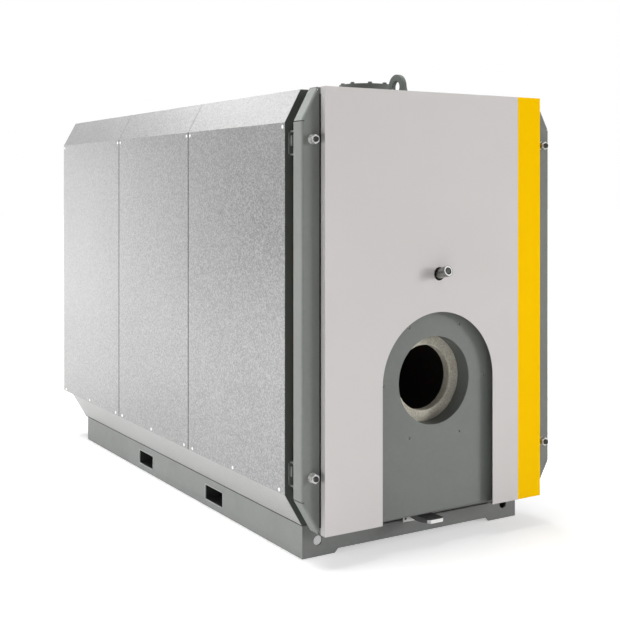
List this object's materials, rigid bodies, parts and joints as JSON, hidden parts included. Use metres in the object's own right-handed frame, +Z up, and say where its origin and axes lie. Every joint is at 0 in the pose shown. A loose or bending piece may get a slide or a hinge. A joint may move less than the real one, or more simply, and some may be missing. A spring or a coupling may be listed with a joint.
{
  "type": "industrial boiler",
  "caption": "Horizontal fire-tube hot-water boiler in a faceted sheet casing on a steel skid, with a hinged burner door.",
  "frame": {"origin": "middle of the floor of the boiler's box, under the skid", "axes": "+X to the right seen from the burner door, +Y from the door to the flue spigot, +Z up"},
  "size_m": [1.397, 3.211, 2.1448],
  "materials": {
    "skid_paint": "satin grey paint",
    "casing_sheet": "zinc-aluminium coated sheet with a fine spangle",
    "frame_paint": "satin dark grey paint",
    "fitting_paint": "satin grey primer",
    "hinge_paint": "satin grey paint",
    "mineral_fibre": "matt mineral fibre",
    "refractory": "rough cast refractory concrete",
    "door_paint": "satin grey paint",
    "cover_paint": "satin light grey paint",
    "stripe_paint": "satin yellow paint",
    "zinc_steel": "bright zinc plate",
    "sight_glass": "clear heat-proof glass",
    "spigot_steel": "plain rolled steel",
    "vessel_steel": "matt dark primer"
  },
  "bodies": {
    "boiler": {"base_beam_front": "skid_paint", "base_beam_left": "skid_paint", "base_beam_rear": "skid_paint", "base_beam_right": "skid_paint", "door_rest": "zinc_steel", "flue_spigot": "spigot_steel", "fork_pocket_front": "skid_paint", "fork_pocket_rear": "skid_paint", "front_frame": "frame_paint", "front_tube_plate": "vessel_steel", "furnace_end": "vessel_steel", "furnace_tube": "vessel_steel", "hinge_brackets_left": "hinge_paint", "hinge_brackets_right": "hinge_paint", "hinge_pins": "hinge_paint", "insulation": "mineral_fibre", "lifting_lugs": "fitting_paint", "rear_panel": "casing_sheet", "rear_tube_plate": "vessel_steel", "rear_underside": "casing_sheet", "return_cover": "fitting_paint", "return_flange": "fitting_paint", "roof_panel_front": "casing_sheet", "roof_panel_middle": "casing_sheet", "roof_panel_rear": "casing_sheet", "side_panel_left_front": "casing_sheet", "side_panel_left_middle": "casing_sheet", "side_panel_left_rear": "casing_sheet", "side_panel_right_front": "casing_sheet", "side_panel_right_middle": "casing_sheet", "side_panel_right_rear": "casing_sheet", "skirt_left": "casing_sheet", "skirt_right": "casing_sheet", "smoke_box": "vessel_steel", "smoke_tubes": "vessel_steel", "supply_cover": "fitting_paint", "supply_flange": "fitting_paint", "vessel_saddles": "vessel_steel", "vessel_shell": "vessel_steel"},
    "door": {"burner_sleeve": "hinge_paint", "clamp_nuts": "zinc_steel", "clamp_studs": "zinc_steel", "cover_stripe": "stripe_paint", "door_lining": "refractory", "door_pan": "door_paint", "door_seal": "mineral_fibre", "front_cover": "cover_paint", "hinge_knuckles": "hinge_paint", "sight_glass": "sight_glass", "sight_tube": "zinc_steel", "throat_ring": "refractory"}
  },
  "joints": [
    {"name": "door_swing", "type": "hinge", "parent": "boiler", "child": "door", "pos_m": [-0.6695, -1.40652, 1.091], "axis": [0, 0, -1], "range_deg": [0, 95]}
  ]
}
